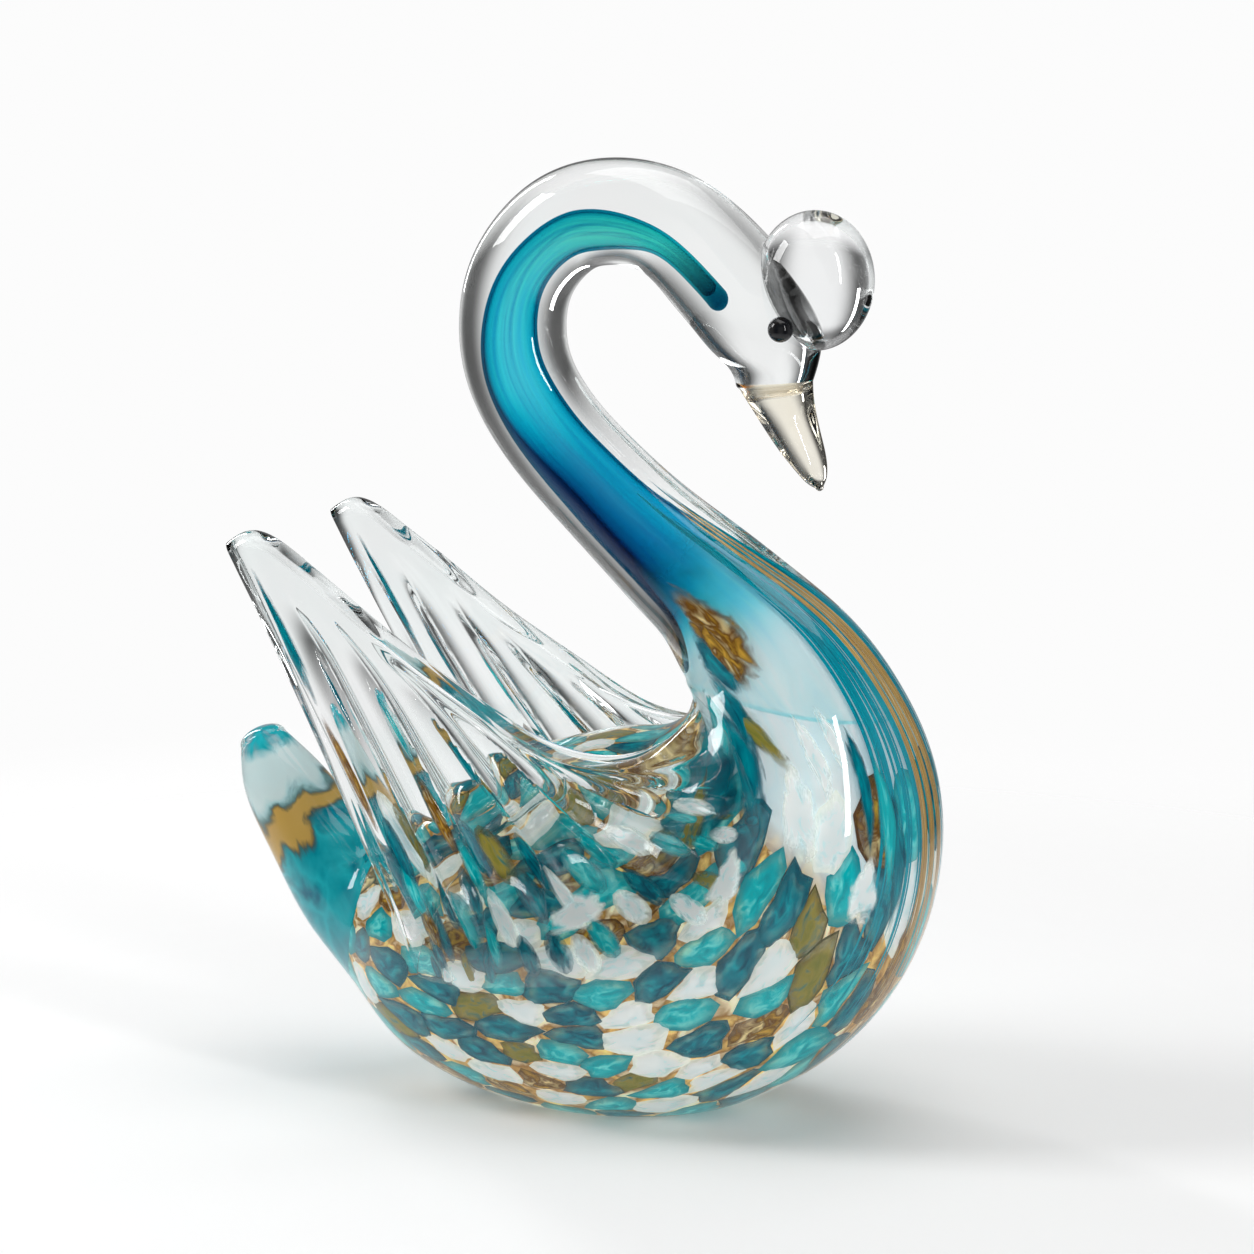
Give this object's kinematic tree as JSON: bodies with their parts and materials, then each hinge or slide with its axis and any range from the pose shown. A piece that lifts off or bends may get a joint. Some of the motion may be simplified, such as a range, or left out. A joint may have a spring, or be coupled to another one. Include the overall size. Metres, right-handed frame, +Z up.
{
  "type": "swan figurine",
  "caption": "Solid art-glass swan with a drawn S neck, coloured frit in the body, two fluted upswept wings, a short tail and a flat ground foot.",
  "frame": {"origin": "middle of the flat ground foot, on the surface the swan stands on", "axes": "+Z up; +X towards the chest and the beak; +Y to the swan's left"},
  "size_m": [0.1575, 0.0778, 0.2003],
  "materials": {
    "clear_glass": "fire polished clear lead-type glass",
    "pale_aqua_glass": "clear inner gather, faint aqua",
    "white_enamel_glass": "opaque white chips under clear glass",
    "aqua_glass": "translucent aqua chips under clear glass",
    "teal_glass": "deep teal chips under clear glass",
    "amber_glass": "amber chips under clear glass",
    "olive_glass": "olive chips under clear glass",
    "gold_glass": "drawn gold-amber ribbon",
    "deep_teal_glass": "drawn teal ribbons",
    "white_veil_glass": "milky veil, drawn thin",
    "turquoise_glass": "turquoise overlay on the neck core",
    "core_glass": "clear rod",
    "amber_tint_glass": "clear glass with a faint amber tint",
    "black_glass": "opaque black bead, glossy",
    "tail_aqua_glass": "aqua and white streaks under clear glass"
  },
  "bodies": {
    "root": {"clear_casing": "clear_glass", "body_core": "pale_aqua_glass", "white_frit": "white_enamel_glass", "aqua_frit": "aqua_glass", "teal_frit": "teal_glass", "amber_frit": "amber_glass", "olive_frit": "olive_glass", "gold_ribbon": "gold_glass", "teal_ribbons": "deep_teal_glass", "white_veil": "white_veil_glass", "neck_colour": "turquoise_glass", "neck_core": "core_glass", "forehead_knob": "clear_glass", "beak": "amber_tint_glass", "eye_left": "black_glass", "eye_right": "black_glass", "wing_left": "clear_glass", "wing_right": "clear_glass", "tail": "clear_glass", "tail_core": "tail_aqua_glass"}
  },
  "joints": []
}
